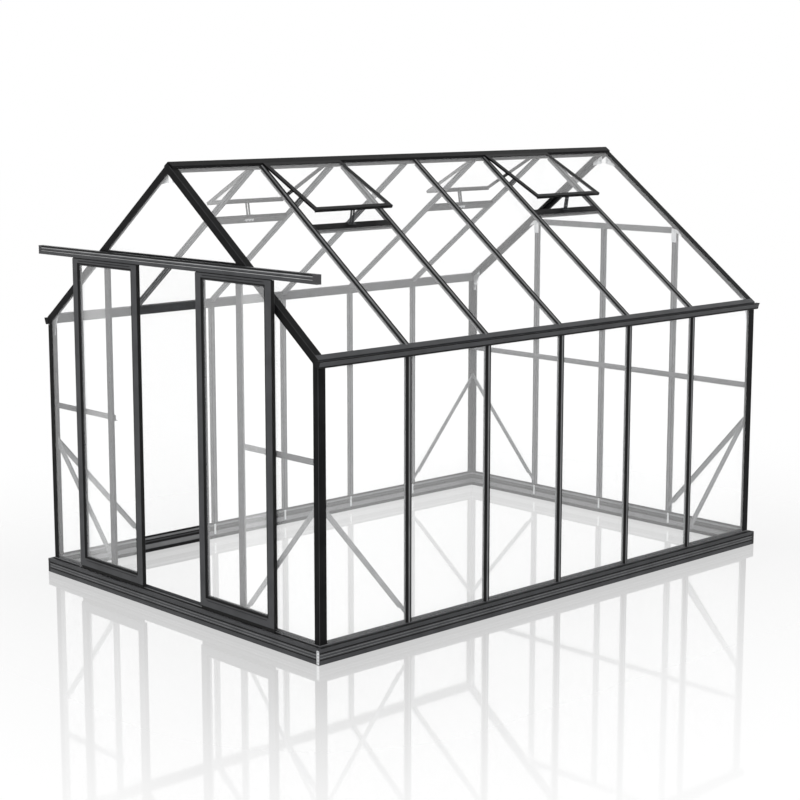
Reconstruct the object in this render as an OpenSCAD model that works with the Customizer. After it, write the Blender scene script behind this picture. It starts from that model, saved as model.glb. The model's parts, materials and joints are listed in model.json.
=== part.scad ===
// Polycarbonate greenhouse with a pitched roof, four roof vents and a pair of sliding doors in one gable.
// Millimetres. X is the width, Y the length, Z up. The door gable faces -Y and the ground is Z = 0.

/* [Frame] */
// Pitch of the glazing bars, which sets the width of one pane
bay = 620; // [560:1:700]
// Number of bays along each long side
side_bays = 6; // [5:1:8]
// Distance from the last bay line to the outer face of the wall
corner_reach = 28.5; // [24:0.5:34]
// Height of the roof's outer face where it crosses the wall's outer face
eave_height = 1622.5; // [1500:0.5:1800]
// Slope of the roof in degrees
roof_pitch = 37.4; // [32:0.1:42]

/* [Base rail] */
// How far the base rail stands out from the wall's outer face
base_reach = 30; // [24:1:40]
// Height of the base rail's outer face
base_face_height = 87; // [80:1:100]
// Height of the flat ledge that the bars stand on
base_ledge_height = 92; // [88:1:96]
// Height of the lip behind the panes
base_lip_height = 112; // [104:1:124]
// Wall of the base rail
base_wall = 2.5; // [2:0.25:3]
// Depth of the grooves in the base rail's outer face
groove_depth = 3.5; // [2:0.1:4]

/* [Glazing] */
// Thickness of the panes
pane = 4; // [3:0.5:6]
// Gap between a pane's edge and the web beside it
pane_gap = 1; // [0.5:0.25:2]
// Thickness of the bars' outer caps
cap = 3; // [2.5:0.25:4]
// Width of the bars' outer caps
cap_width = 46; // [40:1:52]
// Width of the web between cap and box
web_width = 8; // [6:1:10]
// How far the bars' middle rib stands proud of their caps
bar_rib = 3.5; // [2:0.1:4]
// Width of the bars' middle rib
bar_rib_width = 15; // [11:0.5:16]
// Width of the bars' inner box
box_width = 32; // [28:1:40]
// Depth of a whole bar
bar_depth = 20; // [17:0.5:24]
// Wall of the bars' box
box_wall = 2; // [1.5:0.25:3]
// Leg of the corner posts across the gable faces
post_gable_leg = 40; // [36:1:46]
// Leg of the corner posts along the side walls
post_side_leg = 51; // [46:1:56]
// Leg of the gable rafters' top face
corner_leg = 46; // [42:1:52]
// Leg of the gable rafters' upright face
rafter_leg = 45; // [40:1:50]

/* [Gutter and ridge] */
// Height of the gutter's underside
gutter_bottom = 1577; // [1540:1:1588]
// Height of the gutter's lip over its underside
gutter_height = 36; // [32:1:40]
// Reach of the gutter beyond the wall's outer face
gutter_reach = 28; // [24:1:36]
// How far the gutter runs past the door gable
gutter_front = 7.5; // [4:0.5:12]
// How far the gutter runs past the back gable
gutter_back = 19.5; // [10:0.5:26]
// Half the width of the ridge cap
ridge_half = 39; // [34:1:44]
// Rise of the ridge cap's top over the roof's outer face
ridge_rise = 8.5; // [6:0.5:14]
// Reach of the ridge's inner flanges from the middle
ridge_flange = 53; // [46:1:64]
// How far the ridge stops short of the gables
ridge_setback = 8; // [4:1:14]

/* [Gables] */
// Top of the cross beams in both gables
collar_top = 2072; // [1990:1:2120]
// Height of the cross beam over the doorway
header_height = 68; // [56:1:76]
// Height of the cross beam in the back gable
collar_height = 40; // [30:1:50]
// Underside of the mid rails
mid_rail_bottom = 1053; // [950:1:1200]
// Height of the mid rails
mid_rail_height = 35; // [25:1:45]
// Thickness of the mid rails and braces
angle_wall = 2.5; // [2:0.25:4]
// Depth of the mid rails' shelf
mid_rail_shelf = 14; // [10:1:20]
// How far a front mid rail runs past the door jamb
mid_rail_overrun = 12; // [4:1:20]

/* [Braces] */
// Height of a brace's upper end on the corner post
brace_top = 880; // [760:1:960]
// Height of a brace's lower end on the next bar
brace_bottom = 150; // [135:1:240]
// Leg of the brace's angle section
brace_leg = 24; // [18:1:30]

/* [Vents] */
// Length of a vent down the slope
vent_length = 528; // [480:1:600]
// How far a vent is propped open in degrees
vent_open = 8.9; // [6:0.1:14]
// Width of a vent's frame bars
vent_bar = 28; // [22:1:34]
// Thickness of a vent's frame
vent_thick = 12; // [10:0.5:12.5]
// How far the lip under a vent's lower edge hangs below its frame
vent_lip = 6; // [3:0.5:8]
// Distance from a bay line to the vent's side
vent_side_gap = 10; // [9:0.5:16]
// Gap down the slope between a closed vent's lower edge and the cill
cill_gap = 3; // [1:0.5:8]
// Width of the cill down the slope
cill_width = 45; // [36:1:56]
// How far the cill's box runs on down the slope below its outer plate
cill_lap = 14; // [8:1:20]
// Width of one arm of a vent's stay
stay_arm = 14; // [10:0.5:16]
// Gap between the two arms of a stay
stay_gap = 16; // [12:0.5:20]
// Length of the stay's foot plate along the cill
stay_foot = 60; // [48:1:70]

/* [Sliding doors] */
// Width of a door leaf
leaf_width = 652; // [630:1:670]
// Height of a leaf's lower edge
leaf_bottom = 117; // [113:1:124]
// Gap between a leaf's top and the track
leaf_top_gap = 5; // [5:0.5:8]
// Thickness of a leaf
leaf_thick = 26; // [20:0.5:28]
// Gap between a leaf and the wall's outer face
leaf_gap = 5.5; // [5:0.25:7]
// Width of the leaf's stiles and bottom rail
stile = 62; // [54:1:72]
// Width of the leaf's top rail
top_rail = 38.5; // [36:0.5:46]
// Width of the step round the leaf's pane
leaf_step = 14; // [11:0.5:18]
// Distance from the middle of the doorway to a leaf's inner edge as built
leaf_offset = 279; // [200:1:300]
// Half the length of the track
track_half = 1300; // [1285:1:1330]
// Height of the track's lower edge
track_bottom = 2010.5; // [1940:0.5:2040]
// Height of the track
track_height = 52; // [46:1:58]
// Depth of the track
track_depth = 31.5; // [30:0.5:36]
// Wall of the track
track_wall = 3; // [2.5:0.25:3.5]
// Length of the caps on the track's ends
track_cap = 32; // [20:1:40]
// Diameter of a roller
roller_d = 22; // [18:1:24]
// Running gap under a roller
roller_gap = 0.3; // [0.2:0.1:0.5]

/* [Hidden] */
gable_bays = 4;
half_w = gable_bays / 2 * bay + corner_reach;
half_l = side_bays / 2 * bay + corner_reach;
base_half_w = half_w + base_reach;
base_half_l = half_l + base_reach;
pane_in = cap + pane;
lip = base_wall + 0.5;
base_inner = pane_in + lip;
tan_pitch = tan(roof_pitch);
cos_pitch = cos(roof_pitch);
ridge_z = eave_height + half_w * tan_pitch;
gutter_wall = 3;
gutter_inner = half_w - bar_depth - gutter_wall;
eave_slot = half_w - 6;
seat_gap = 0.1;
drip = 4;
ridge_box = 16;
corner_core = bar_depth;
plate = 2;
corner_plate_leg = 20;
corner_plate = 1.5;
header_half = (ridge_z - collar_top) / tan_pitch;
leaf_top = track_bottom - leaf_top_gap;
leaf_back = half_l + leaf_gap;
leaf_mid = leaf_back + leaf_thick / 2;
pane_lip = 10;
track_face = track_wall + 1;
apex_gap = 1;
cill_start = ridge_half / cos_pitch + vent_length + cill_gap;
bracket_height = 70;
bracket_width = 14;
bracket_z = base_lip_height - 11 - bracket_height / 2;
$fn = 32;

// ---------- sections ----------

// Base rail: x runs inward from the wall's outer face, y is the height.
// Its outer face has three deep grooves and two rounded beads between the lower pair.
module base_section() {
  h = base_face_height;
  deep = -base_reach + groove_depth;
  flat = -base_reach + groove_depth * 0.55;
  difference() {
    polygon([
      [-base_reach, 0], [base_inner, 0], [base_inner, base_lip_height], [pane_in, base_lip_height],
      [pane_in, base_ledge_height], [-4, base_ledge_height], [-base_reach + 2, h],
      [-base_reach, h - 3], [-base_reach, h - 5], [deep, h - 6], [deep, h - 10], [-base_reach, h - 11],
      [-base_reach, 0.63 * h], [deep, 0.62 * h], [deep, 0.56 * h], [flat, 0.545 * h],
      [-base_reach, 0.52 * h], [-base_reach, 0.49 * h], [flat, 0.465 * h], [flat, 0.39 * h],
      [-base_reach, 0.355 * h], [-base_reach, 0.33 * h], [deep, 0.31 * h], [deep, 0.245 * h],
      [-base_reach, 0.235 * h]
    ]);
    polygon([
      [deep + base_wall, -1], [base_inner - base_wall, -1],
      [base_inner - base_wall, base_ledge_height - base_wall], [-4, base_ledge_height - base_wall],
      [deep + base_wall, h - base_wall - 2]
    ]);
  }
}

// One straight run of base rail along X, mitred at both ends, its outer face towards -Y.
module base_run(half, outer_half) {
  intersection() {
    translate([-half - 1, 0, 0])
      rotate([90, 0, 90]) linear_extrude(2 * half + 2) base_section();
    linear_extrude(base_lip_height + 1)
      polygon([
        [-outer_half, -base_reach], [outer_half, -base_reach],
        [outer_half - base_reach - base_inner, base_inner],
        [-outer_half + base_reach + base_inner, base_inner]
      ]);
  }
}

// Glazing bar seen from its end: x across, y from the outer face inward.
module cap_section() {
  translate([-cap_width / 2, 0]) square([cap_width, cap]);
  translate([-web_width / 2, 0]) square([web_width, pane_in]);
}

// Rounded rib along the middle of a cap, standing proud of the outer face.
module rib_section() {
  half = bar_rib_width / 2;
  polygon([
    [-half, 0], [-half, 1.5 - bar_rib], [1 - half, 0.5 - bar_rib], [2.5 - half, -bar_rib],
    [half - 2.5, -bar_rib], [half - 1, 0.5 - bar_rib], [half, 1.5 - bar_rib], [half, 0]
  ]);
}

module box_section(width = box_width) {
  translate([-width / 2, pane_in])
    difference() {
      square([width, bar_depth - pane_in]);
      translate([box_wall, box_wall])
        square([width - 2 * box_wall, bar_depth - pane_in - 2 * box_wall]);
    }
}

// Corner profile with the outer corner at the origin: legs along +x and +y, fluted on the outside.
module corner_skin(leg_x, leg_y) {
  flute = 2.5;
  deep = 1;
  first = 9.25;
  pitch = 11;
  difference() {
    union() {
      square([leg_x, cap]);
      square([cap, leg_y]);
      square([pane_in, pane_in]);
    }
    difference() {
      translate([-0.1, -0.1]) square([4.1, 4.1]);
      translate([4, 4]) circle(r = 4);
    }
    for (at = [first : pitch : leg_x - 5]) translate([at, -1]) square([flute, 1 + deep]);
    for (at = [first : pitch : leg_y - 5]) translate([-1, at]) square([1 + deep, flute]);
  }
}

module corner_box(leg_x, leg_y) {
  difference() {
    translate([cap, cap]) {
      square([leg_x - cap, bar_depth - cap]);
      square([bar_depth - cap, leg_y - cap]);
    }
    translate([bar_depth, cap - 0.1]) square([leg_x, pane + 0.1]);
    translate([cap - 0.1, bar_depth]) square([pane + 0.1, leg_y]);
    translate([pane_in + box_wall, pane_in + box_wall]) {
      square([leg_x - pane_in - 2 * box_wall, bar_depth - pane_in - 2 * box_wall]);
      square([bar_depth - pane_in - 2 * box_wall, leg_y - pane_in - 2 * box_wall]);
    }
  }
}

// ---------- walls ----------

// Upright bar standing on the base rail, its outer face towards -Y at y = 0.
// The door jambs have no rib, because the leaves slide close in front of them.
module upright(top, ribbed = true) {
  translate([0, 0, base_ledge_height])
    linear_extrude(top - base_ledge_height) {
      cap_section();
      if (ribbed) rib_section();
    }
  translate([0, 0, base_lip_height]) linear_extrude(top - base_lip_height) box_section();
}

module base_front() {
  color("#202224") translate([0, -half_l, 0]) base_run(half_w + base_reach, base_half_w);
}

module base_back() {
  color("#202224") rotate([0, 0, 180]) translate([0, -half_l, 0]) base_run(half_w + base_reach, base_half_w);
}

module base_right() {
  color("#202224") rotate([0, 0, 90]) translate([0, -half_w, 0]) base_run(half_l + base_reach, base_half_l);
}

module base_left() {
  color("#202224") rotate([0, 0, -90]) translate([0, -half_w, 0]) base_run(half_l + base_reach, base_half_l);
}

// Joint strips on the base's outer faces: on the gable face at the front, round the corner at the back.
module base_corner_plates() {
  plate_z = 4;
  plate_h = base_face_height - 12;
  color("#b9bdc1")
    for (side = [0, 1])
      mirror([side, 0, 0]) {
        translate([base_half_w - corner_plate_leg, -base_half_l - corner_plate, plate_z])
          cube([corner_plate_leg, corner_plate, plate_h]);
        translate([base_half_w, base_half_l - corner_plate_leg, plate_z])
          cube([corner_plate, corner_plate_leg + corner_plate, plate_h]);
        translate([base_half_w - corner_plate_leg, base_half_l, plate_z])
          cube([corner_plate_leg + corner_plate, corner_plate, plate_h]);
      }
}

// Corner post, its top cut to the gutter's underside and to the rafter above it.
module corner_post() {
  top = roof_at(half_w - post_gable_leg) - rafter_leg / cos_pitch;
  difference() {
    translate([half_w, half_l, 0]) rotate([0, 0, 180]) {
      translate([0, 0, base_ledge_height])
        linear_extrude(top - base_ledge_height) corner_skin(post_gable_leg, post_side_leg);
      translate([0, 0, base_lip_height])
        linear_extrude(top - base_lip_height) corner_box(post_gable_leg, post_side_leg);
    }
    translate([gutter_inner, half_l - post_side_leg - 1, gutter_bottom])
      cube([post_gable_leg, post_side_leg + 2, top]);
    translate([0, half_l - bar_depth, 0]) under_rafter(rafter_leg, bar_depth + 1);
    translate([gutter_inner - post_gable_leg, half_l - post_side_leg - 1, gutter_bottom])
      cube([post_gable_leg + 1, post_side_leg + 1 - bar_depth, top]);
  }
}

// Everything above a line at the given depth below the right slope's outer face.
module under_rafter(depth, length) {
  translate([0, length, 0]) rotate([90, 0, 0]) linear_extrude(length)
    polygon([
      [0, roof_at(0) - depth / cos_pitch], [half_w + 50, roof_at(half_w + 50) - depth / cos_pitch],
      [half_w + 50, 2 * ridge_z], [0, 2 * ridge_z]
    ]);
}

module corner_posts() {
  color("#26282b")
    for (sx = [0, 1], sy = [0, 1])
      mirror([sx, 0, 0]) mirror([0, sy, 0]) corner_post();
}

module side_bars() {
  for (k = [1 : side_bays - 1])
    translate([half_w, (k - side_bays / 2) * bay, 0]) rotate([0, 0, 90]) upright(gutter_bottom);
}

module side_bars_right() {
  color("#26282b") side_bars();
}

module side_bars_left() {
  color("#26282b") rotate([0, 0, 180]) side_bars();
}

module door_jambs() {
  color("#26282b")
    for (sx = [-1, 1])
      translate([sx * bay, -half_l, 0]) upright(collar_top - header_height, ribbed = false);
}

module back_posts() {
  color("#26282b")
    for (k = [-1, 0, 1])
      translate([k * bay, half_l, 0]) rotate([0, 0, 180]) upright(collar_top - collar_height);
}

// ---------- eaves, ridge and roof ----------

function roof_at(x) = ridge_z - x * tan_pitch;

function under_roof(x, depth) = roof_at(x) - depth / cos_pitch;

// Eave beam: a hollow bar whose sloping top holds the lower edges of the roof panes.
module eave_outline() {
  top = seat_gap;
  slot_top = cap - seat_gap;
  slot_floor = pane_in + seat_gap;
  polygon([
    [gutter_inner, gutter_bottom], [half_w, gutter_bottom], [half_w, under_roof(half_w, cap)],
    [half_w + drip, under_roof(half_w + drip, cap)], [half_w + drip, under_roof(half_w + drip, top)],
    [gutter_inner, under_roof(gutter_inner, top)], [gutter_inner, under_roof(gutter_inner, slot_top)],
    [eave_slot, under_roof(eave_slot, slot_top)], [eave_slot, under_roof(eave_slot, slot_floor)],
    [gutter_inner, under_roof(gutter_inner, slot_floor)]
  ]);
}

module eave_section() {
  wall_in = gutter_inner + gutter_wall;
  wall_out = half_w - gutter_wall;
  groove = 1.2;
  difference() {
    eave_outline();
    polygon([
      [wall_in, gutter_bottom + gutter_wall], [wall_out, gutter_bottom + gutter_wall],
      [wall_out, under_roof(wall_out, pane_in + gutter_wall)],
      [wall_in, under_roof(wall_in, pane_in + gutter_wall)]
    ]);
    translate([wall_in + 5, gutter_bottom - 1]) square([6, gutter_wall + 2]);
    for (z = [27, 48]) translate([gutter_inner - 1, gutter_bottom + z]) square([1 + groove, 7]);
  }
}

// Rain gutter hung on the eave beam's outer face.
module gutter_outline() {
  out = half_w + gutter_reach;
  lip_z = gutter_bottom + gutter_height;
  polygon([
    [half_w, gutter_bottom], [out - 16, gutter_bottom], [out - 11.5, gutter_bottom + 2],
    [out - 9.5, gutter_bottom + 6], [out - 2.5, lip_z - 7], [out, lip_z - 5], [out, lip_z],
    [half_w, lip_z]
  ]);
}

module gutter_channel() {
  out = half_w + gutter_reach;
  lip_z = gutter_bottom + gutter_height;
  floor_z = gutter_bottom + gutter_wall;
  polygon([
    [half_w + plate, floor_z], [out - 16, floor_z], [out - 12.6, floor_z + 5], [out - 5.6, lip_z - 6],
    [out - 5, lip_z - 2.5], [out - 5, lip_z + 1], [half_w + plate, lip_z + 1]
  ]);
}

module gutter_run() {
  rotate([90, 0, 0]) {
    linear_extrude(2 * half_l, center = true) eave_section();
    for (s = [0, 1])
      mirror([0, 0, s]) translate([0, 0, half_l - plate]) linear_extrude(plate) eave_outline();
    translate([0, 0, -half_l - gutter_back])
      difference() {
        linear_extrude(2 * half_l + gutter_back + gutter_front) gutter_outline();
        translate([0, 0, plate])
          linear_extrude(2 * half_l + gutter_back + gutter_front - 2 * plate) gutter_channel();
      }
  }
}

module gutter_right() {
  color("#26282b") gutter_run();
}

module gutter_left() {
  color("#26282b") mirror([1, 0, 0]) gutter_run();
}

module ridge_section() {
  foot = roof_at(ridge_half);
  foot_in = roof_at(ridge_half - cap);
  shoulder = foot + 15;
  top_z = ridge_z + ridge_rise;
  under = roof_at(ridge_box) - bar_depth / cos_pitch;
  difference() {
    union() {
      for (side = [0, 1])
        mirror([side, 0])
          polygon([
            [0, top_z], [5, top_z], [ridge_half, shoulder], [ridge_half, foot],
            [ridge_half - cap, foot_in], [ridge_half - cap, shoulder - 4],
            [ridge_box, top_z - 14], [ridge_box, under], [0, under]
          ]);
    }
    translate([-ridge_box + cap, under + cap])
      square([2 * (ridge_box - cap), top_z - 18 - under - cap]);
    translate([-6, under - 1]) square([12, cap + 2]);
  }
}

// Inner flanges of the ridge, which carry the upper edges of the roof panes and end at the gable rafters.
module ridge_flanges() {
  flange = 3;
  top = pane_in + seat_gap;
  for (side = [0, 1])
    mirror([side, 0])
      polygon([
        [ridge_box - 1, under_roof(ridge_box - 1, top)],
        [ridge_flange, under_roof(ridge_flange, top)],
        [ridge_flange, under_roof(ridge_flange, top + flange)],
        [ridge_box - 1, under_roof(ridge_box - 1, top + flange)]
      ]);
}

module ridge() {
  color("#26282b")
    rotate([90, 0, 0]) {
      linear_extrude(2 * (half_l - ridge_setback), center = true) ridge_section();
      linear_extrude(2 * (half_l - corner_leg), center = true) ridge_flanges();
    }
}

// Places children on the right slope: x runs down the slope from the ridge line, z is the outward normal.
module on_slope() {
  translate([0, 0, ridge_z]) rotate([0, roof_pitch, 0]) children();
}

// A length along the slope as a slab between two plumb planes.
module plumb_cut(x0, x1) {
  translate([x0, -half_l - 10, gutter_bottom]) cube([x1 - x0, 2 * half_l + 20, ridge_z]);
}

slope_length = half_w / cos_pitch + 60;

// A section run down the whole slope, its outer face on the roof's outer face.
module down_slope() {
  on_slope() rotate([90, 0, 90]) mirror([0, 1, 0]) translate([0, 0, -40])
    linear_extrude(slope_length + 40) children();
}

// Roof bar: its cap butts on the eave beam, its rib laps over the beam's sloping top.
module roof_bar() {
  intersection() {
    down_slope() cap_section();
    plumb_cut(ridge_box, gutter_inner);
  }
  intersection() {
    down_slope() rib_section();
    plumb_cut(ridge_half + 2, gutter_inner + 8);
  }
  intersection() {
    down_slope() box_section();
    plumb_cut(ridge_flange, gutter_inner);
  }
}

module roof_bars() {
  for (k = [1 : side_bays - 1])
    translate([0, (k - side_bays / 2) * bay, 0]) roof_bar();
}

module roof_bars_right() {
  color("#26282b") roof_bars();
}

module roof_bars_left() {
  color("#26282b") mirror([1, 0, 0]) roof_bars();
}

module gable_rafter() {
  intersection() {
    translate([0, -half_l, 0]) down_slope() {
      corner_skin(corner_leg, rafter_leg);
      corner_box(corner_leg, rafter_leg);
    }
    union() {
      plumb_cut(ridge_box, gutter_inner);
      translate([apex_gap / 2, -half_l - 1, 0]) cube([ridge_box, ridge_setback + 1, 2 * ridge_z]);
    }
  }
}

module gable_rafters_front() {
  color("#26282b") {
    gable_rafter();
    mirror([1, 0, 0]) gable_rafter();
  }
}

module gable_rafters_back() {
  color("#26282b") mirror([0, 1, 0]) {
    gable_rafter();
    mirror([1, 0, 0]) gable_rafter();
  }
}

// ---------- cross beams, rails, braces and fittings ----------

// Cross beam with its outer face towards -Y at y = 0 and its middle at x = 0, ends cut to the rafters.
module cross_beam(height) {
  slot = 10;
  intersection() {
    translate([-header_half, 0, collar_top - height])
      rotate([90, 0, 90]) linear_extrude(2 * header_half)
        difference() {
          square([bar_depth, height]);
          translate([cap, -0.1]) square([pane, slot + 0.1]);
          translate([cap, height - slot]) square([pane, slot + 0.1]);
          translate([pane_in + box_wall, box_wall])
            square([bar_depth - pane_in - 2 * box_wall, height - 2 * box_wall]);
        }
    for (s = [0, 1])
      mirror([s, 0, 0])
        translate([-0.01, -1, 0]) rotate([90, 0, 0]) mirror([0, 0, 1])
          linear_extrude(bar_depth + 2)
            polygon([
              [0, 0], [half_w, 0], [half_w, roof_at(half_w) - rafter_leg / cos_pitch],
              [0, roof_at(0) - rafter_leg / cos_pitch]
            ]);
  }
}

module door_header() {
  color("#26282b") translate([0, -half_l, 0]) cross_beam(header_height);
}

module back_collar() {
  color("#26282b") translate([0, half_l, 0]) rotate([0, 0, 180]) cross_beam(collar_height);
}

// Angle rail along X, its upright leg against the bars' inner faces.
module mid_rail(x0, x1) {
  translate([x0, bar_depth, mid_rail_bottom])
    cube([x1 - x0, angle_wall, mid_rail_height]);
  translate([x0, bar_depth, mid_rail_bottom])
    cube([x1 - x0, mid_rail_shelf, angle_wall]);
}

module mid_rails_front() {
  color("#26282b")
    for (s = [0, 1])
      mirror([s, 0, 0])
        translate([0, -half_l, 0])
          mid_rail(bay - box_width / 2 - mid_rail_overrun, half_w - bar_depth - 1);
}

module mid_rail_back() {
  reach = half_w - bar_depth - 1;
  color("#26282b") translate([0, half_l, 0]) rotate([0, 0, 180]) mid_rail(-reach, reach);
}

// Angle brace in the plane of a wall that runs along X with its outer face at y = 0.
// It runs from the corner post at x = 0 down to the bar whose middle is at x = run.
module brace(run) {
  x0 = corner_leg - brace_leg - 4;
  x1 = run + box_width / 2 - 4;
  brace_end = bar_depth + angle_wall + 1;
  length = sqrt(pow(x1 - x0, 2) + pow(brace_top - brace_bottom, 2));
  drop = atan2(brace_top - brace_bottom, x1 - x0);
  intersection() {
    translate([x0, bar_depth, brace_top])
      rotate([0, drop, 0]) {
        translate([-brace_leg, 0, -brace_leg]) cube([length + brace_leg, angle_wall, brace_leg]);
        translate([box_width, 0, -angle_wall])
          cube([length - 2 * box_width, brace_leg / 2, angle_wall]);
      }
    translate([brace_end, 0, 0]) cube([x1 - brace_end, bar_depth + brace_leg, 2 * brace_top]);
  }
}

module braces_side() {
  color("#2b2d30")
    for (sx = [0, 1], sy = [0, 1])
      mirror([sx, 0, 0]) mirror([0, sy, 0])
        translate([half_w, -half_l, 0]) rotate([0, 0, 90]) brace(bay + corner_reach);
}

module braces_gable() {
  color("#2b2d30")
    for (sx = [0, 1], sy = [0, 1])
      mirror([sx, 0, 0]) mirror([0, sy, 0])
        translate([half_w, -half_l, 0]) mirror([1, 0, 0]) brace(bay + corner_reach);
}

// Joint plates on the inner faces at the eaves, at the ridge and at the ends of the cross beams.
module gussets() {
  eave_z = gutter_bottom;
  under_leg = (bar_depth + 1) / cos_pitch;
  color("#b9bdc1")
    for (sx = [0, 1], sy = [0, 1])
      mirror([sx, 0, 0]) mirror([0, sy, 0])
        translate([0, -half_l + bar_depth, 0]) rotate([90, 0, 0]) mirror([0, 0, 1])
          linear_extrude(plate) {
            polygon([
              [gutter_inner - 1, eave_z - 70],
              [gutter_inner - 1, roof_at(gutter_inner - 1) - under_leg],
              [gutter_inner - 62, roof_at(gutter_inner - 62) - under_leg],
              [gutter_inner - 62, roof_at(gutter_inner - 62) - 42 / cos_pitch],
              [gutter_inner - 24, eave_z - 40], [gutter_inner - 24, eave_z - 70]
            ]);
            polygon([
              [ridge_box + 1, roof_at(ridge_box + 1) - 30 / cos_pitch],
              [ridge_box + 80, roof_at(ridge_box + 80) - under_leg],
              [ridge_box + 80, roof_at(ridge_box + 80) - 40 / cos_pitch],
              [ridge_box + 1, roof_at(ridge_box + 1) - 75 / cos_pitch]
            ]);
            polygon([
              [bay - 20, collar_top - collar_height - 60], [bay + 20, collar_top - collar_height - 60],
              [bay + 20, collar_top - collar_height + 5],
              [bay + 70, roof_at(bay + 70) - 40 / cos_pitch],
              [bay + 30, roof_at(bay + 30) - 30 / cos_pitch],
              [bay - 20, collar_top - 6]
            ]);
          }
}

// Straps that bolt each bar to the base rail's inner face.
module foot_brackets() {
  inset = base_inner + plate / 2;
  color("#b9bdc1") {
    for (k = [1 : side_bays - 1], s = [-1, 1])
      translate([s * (half_w - inset), (k - side_bays / 2) * bay, bracket_z])
        cube([plate, bracket_width, bracket_height], center = true);
    for (k = [-1, 0, 1])
      translate([k * bay, half_l - inset, bracket_z])
        cube([bracket_width, plate, bracket_height], center = true);
    for (k = [-1, 1])
      translate([k * bay, -half_l + inset, bracket_z])
        cube([bracket_width, plate, bracket_height], center = true);
  }
}

// ---------- panes ----------

module side_panes() {
  for (k = [0 : side_bays - 1]) {
    y0 = k == 0 ? -half_l + corner_core + pane_gap : (k - side_bays / 2) * bay + web_width / 2 + pane_gap;
    y1 = k == side_bays - 1 ? half_l - corner_core - pane_gap
      : (k + 1 - side_bays / 2) * bay - web_width / 2 - pane_gap;
    translate([half_w - pane_in, y0, base_ledge_height])
      cube([pane, y1 - y0, gutter_bottom - 1 - base_ledge_height]);
  }
}

module side_panes_right() {
  color("#e8eef0", 0.4) side_panes();
}

module side_panes_left() {
  color("#e8eef0", 0.4) mirror([1, 0, 0]) side_panes();
}

// Upright pane under the right-hand rafter, in the wall that faces -Y, up to a cross beam of the given height.
module gable_side_pane(beam_height) {
  drop = (corner_core + pane_gap) / cos_pitch;
  x0 = bay + web_width / 2 + pane_gap;
  x1 = half_w - corner_core - pane_gap;
  top = collar_top - beam_height + 9;
  translate([0, -half_l + pane_in, 0]) rotate([90, 0, 0]) linear_extrude(pane)
    polygon([
      [x0, base_ledge_height], [x1, base_ledge_height], [x1, gutter_bottom - 1],
      [gutter_inner - 1, gutter_bottom - 1], [gutter_inner - 1, roof_at(gutter_inner - 1) - drop],
      [(ridge_z - drop - top) / tan_pitch, top], [x0, top]
    ]);
}

// Triangular pane over a cross beam.
module gable_top_pane() {
  drop = (corner_core + pane_gap) / cos_pitch;
  bottom = collar_top - 9;
  reach = (ridge_z - drop - bottom) / tan_pitch;
  translate([0, -half_l + pane_in, 0]) rotate([90, 0, 0]) linear_extrude(pane)
    polygon([[-reach, bottom], [reach, bottom], [0, ridge_z - drop]]);
}

module front_panes() {
  color("#e8eef0", 0.4) {
    for (s = [0, 1]) mirror([s, 0, 0]) gable_side_pane(header_height);
    gable_top_pane();
  }
}

module back_panes() {
  x0 = web_width / 2 + pane_gap;
  color("#e8eef0", 0.4) mirror([0, 1, 0]) {
    for (s = [0, 1]) mirror([s, 0, 0]) {
      gable_side_pane(collar_height);
      translate([x0, -half_l + cap, base_ledge_height])
        cube([bay - 2 * x0, pane, collar_top - collar_height + 9 - base_ledge_height]);
    }
    gable_top_pane();
  }
}

function vented(k) = k == 1 || k == side_bays - 2;

module roof_panes() {
  for (k = [0 : side_bays - 1]) {
    y0 = k == 0 ? -half_l + corner_core + pane_gap : (k - side_bays / 2) * bay + web_width / 2 + pane_gap;
    y1 = k == side_bays - 1 ? half_l - corner_core - pane_gap
      : (k + 1 - side_bays / 2) * bay - web_width / 2 - pane_gap;
    intersection() {
      on_slope()
        translate([vented(k) ? cill_start + cill_width / 2 + pane_gap : -40, y0, -pane_in])
          cube([slope_length + 40, y1 - y0, pane]);
      plumb_cut(ridge_box + pane_gap, eave_slot - pane_gap);
    }
  }
}

module roof_panes_right() {
  color("#e8eef0", 0.4) roof_panes();
}

module roof_panes_left() {
  color("#e8eef0", 0.4) mirror([1, 0, 0]) roof_panes();
}

// ---------- vents ----------

// Places children in the middle of each vented bay of both slopes.
module at_vents() {
  for (s = [0, 1], k = [1, side_bays - 2])
    mirror([s, 0, 0]) translate([0, (k + 0.5 - side_bays / 2) * bay, 0]) children();
}

vent_width = bay - 2 * vent_side_gap;
vent_pitch = roof_pitch - vent_open;
vent_x = ridge_half;
vent_z = roof_at(ridge_half) + 15;

// Vent's own frame: x runs down the vent from the ridge cap's shoulder, z is its outward normal.
module on_vent() {
  translate([vent_x, 0, vent_z]) rotate([0, vent_pitch, 0]) children();
}

module vent_frame() {
  lip_wall = 3;
  on_vent() translate([vent_length - lip_wall, -vent_width / 2, -vent_thick - vent_lip])
    cube([lip_wall, vent_width, vent_lip + 1]);
  difference() {
    on_vent() translate([-vent_thick, -vent_width / 2, -vent_thick])
      cube([vent_length + vent_thick, vent_width, vent_thick]);
    translate([vent_x - 50, -vent_width, vent_z - 50]) cube([50, 2 * vent_width, 100]);
    on_vent() {
      translate([vent_bar, -vent_width / 2 + vent_bar, -vent_thick - 1])
        cube([vent_length - 2 * vent_bar, vent_width - 2 * vent_bar, vent_thick + 2]);
      translate([vent_bar - 8, -vent_width / 2 + vent_bar - 8, -cap - pane])
        cube([vent_length - 2 * vent_bar + 16, vent_width - 2 * vent_bar + 16, pane]);
    }
  }
}

module vent_frames() {
  color("#26282b") at_vents() vent_frame();
}

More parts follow.
